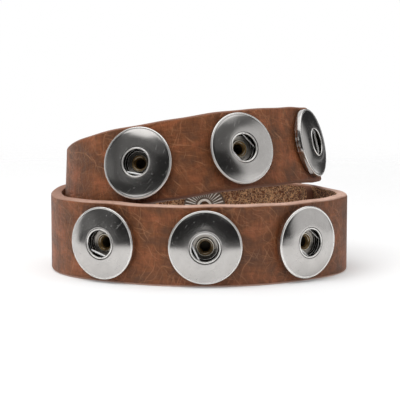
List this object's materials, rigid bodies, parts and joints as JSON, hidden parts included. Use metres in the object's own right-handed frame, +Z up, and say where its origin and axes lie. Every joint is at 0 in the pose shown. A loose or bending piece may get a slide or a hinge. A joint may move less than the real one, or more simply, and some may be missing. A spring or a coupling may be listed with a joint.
{
  "type": "leather snap bracelet",
  "caption": "Double-wrap brown leather strap bracelet with round nickel snap sockets along the front of both wraps and a riveted snap at the back, standing on its lower edge.",
  "frame": {"origin": "on the surface the bracelet stands on, below the middle of its box", "axes": "+Z up along the wrist, -Y towards the front with the snap sockets, +X to the right as seen from the front"},
  "size_m": [0.0778, 0.0694, 0.0427],
  "materials": {
    "leather": "brown pull-up leather, waxed grain side, undyed cut edges, suede inside",
    "socket_metal": "polished nickel plating",
    "spring_steel": "bright spring wire",
    "rivet_brass": "dull brass tube and flange",
    "closure_metal": "matt grey nickel"
  },
  "bodies": {
    "root": {"strap": "leather", "socket_up_left": "socket_metal", "socket_up_mid": "socket_metal", "socket_up_right": "socket_metal", "socket_low_left": "socket_metal", "socket_low_mid": "socket_metal", "socket_low_right": "socket_metal", "spring_up_left": "spring_steel", "spring_up_mid": "spring_steel", "spring_up_right": "spring_steel", "spring_low_left": "spring_steel", "spring_low_mid": "spring_steel", "spring_low_right": "spring_steel", "rivet_up_left": "rivet_brass", "rivet_up_mid": "rivet_brass", "rivet_up_right": "rivet_brass", "rivet_low_left": "rivet_brass", "rivet_low_mid": "rivet_brass", "rivet_low_right": "rivet_brass", "closure_flange": "closure_metal", "closure_snap": "closure_metal"}
  },
  "joints": []
}
